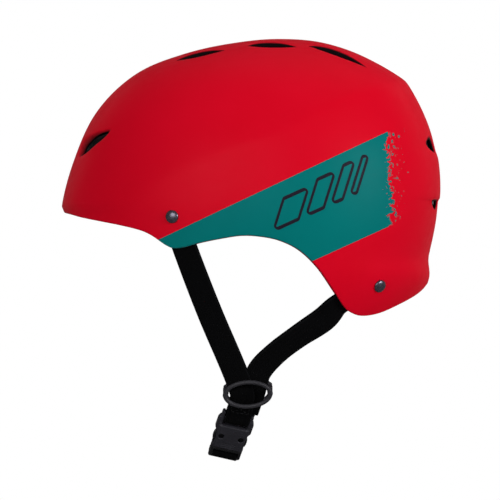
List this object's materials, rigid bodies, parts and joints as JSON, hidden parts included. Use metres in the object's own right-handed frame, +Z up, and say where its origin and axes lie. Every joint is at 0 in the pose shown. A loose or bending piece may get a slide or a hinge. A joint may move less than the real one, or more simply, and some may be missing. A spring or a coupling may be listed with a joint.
{
  "type": "multi-sport helmet",
  "caption": "Hard-shell sports helmet with vents, a foam liner, comfort pads and a riveted webbing harness closed by a side-release buckle.",
  "frame": {"origin": "on the mid-plane, level with the front rim's underside and half way along the shell, inside the head cavity", "axes": "+Z up as worn, -Y to the front, +X to the wearer's left"},
  "size_m": [0.2168, 0.2823, 0.3165],
  "materials": {
    "shell": "satin moulded shell, red with a teal side panel",
    "foam": "black expanded polystyrene, beaded",
    "pad": "brushed knit over foam, bound edges",
    "patch": "hook-and-loop tape",
    "rivet": "gunmetal, glossy",
    "washer": "plated steel",
    "webbing": "woven black webbing",
    "divider": "dark grey moulded",
    "buckle": "dark grey fine-textured moulding",
    "clip": "dark grey fine-textured moulding",
    "rubber": "matte moulded rubber"
  },
  "bodies": {
    "helmet": {"outer_shell": "shell", "foam_liner": "foam", "brow_pad": "pad", "left_side_pad": "pad", "right_side_pad": "pad", "rear_pad": "pad", "crown_pad": "pad", "pad_fasteners": "patch", "front_left_rivet": "rivet", "rear_left_rivet": "rivet", "front_right_rivet": "rivet", "rear_right_rivet": "rivet", "rivet_washers": "washer", "front_left_web": "webbing", "rear_left_web": "webbing", "front_right_web": "webbing", "rear_right_web": "webbing"},
    "harness": {"buckle_socket": "buckle", "chin_web": "webbing"},
    "left_divider": {"left_divider": "divider"},
    "right_divider": {"right_divider": "divider"},
    "clip": {"clip_body": "clip"},
    "front_prong": {"front_prong": "clip"},
    "rear_prong": {"rear_prong": "clip"},
    "keeper": {"tail_keeper": "rubber"}
  },
  "joints": [
    {"name": "harness_swing", "type": "hinge", "parent": "helmet", "child": "harness", "pos_m": [0, 0.0375, 0.0315], "axis": [1, 0, 0], "range_deg": [-10, 12], "deforming": ["front_left_web", "rear_left_web", "front_right_web", "rear_right_web"]},
    {"name": "left_divider_slide", "type": "slide", "parent": "harness", "child": "left_divider", "axis": [-0.593, -0.2689, -0.759], "range_m": [-0.0005, 0.005]},
    {"name": "right_divider_slide", "type": "slide", "parent": "harness", "child": "right_divider", "axis": [0.593, -0.2689, -0.759], "range_m": [-0.0005, 0.005]},
    {"name": "clip_release", "type": "slide", "parent": "harness", "child": "clip", "axis": [-0.593, -0.2689, -0.759], "range_m": [0, 0.022], "deforming": ["chin_web", "front_prong", "rear_prong"]},
    {"name": "front_prong_squeeze", "type": "hinge", "parent": "clip", "child": "front_prong", "pos_m": [0.04001, -0.02291, -0.16989], "axis": [-0.788, 0, 0.6157], "range_deg": [0, 7], "stiffness_Nm_per_rad": 0.1},
    {"name": "rear_prong_squeeze", "type": "hinge", "parent": "clip", "child": "rear_prong", "pos_m": [0.03789, -0.01058, -0.1726], "axis": [0.788, 0, -0.6157], "range_deg": [0, 7], "stiffness_Nm_per_rad": 0.1},
    {"name": "keeper_slide", "type": "slide", "parent": "harness", "child": "keeper", "axis": [1, 0, 0], "range_m": [-0.006, 0.008]}
  ]
}
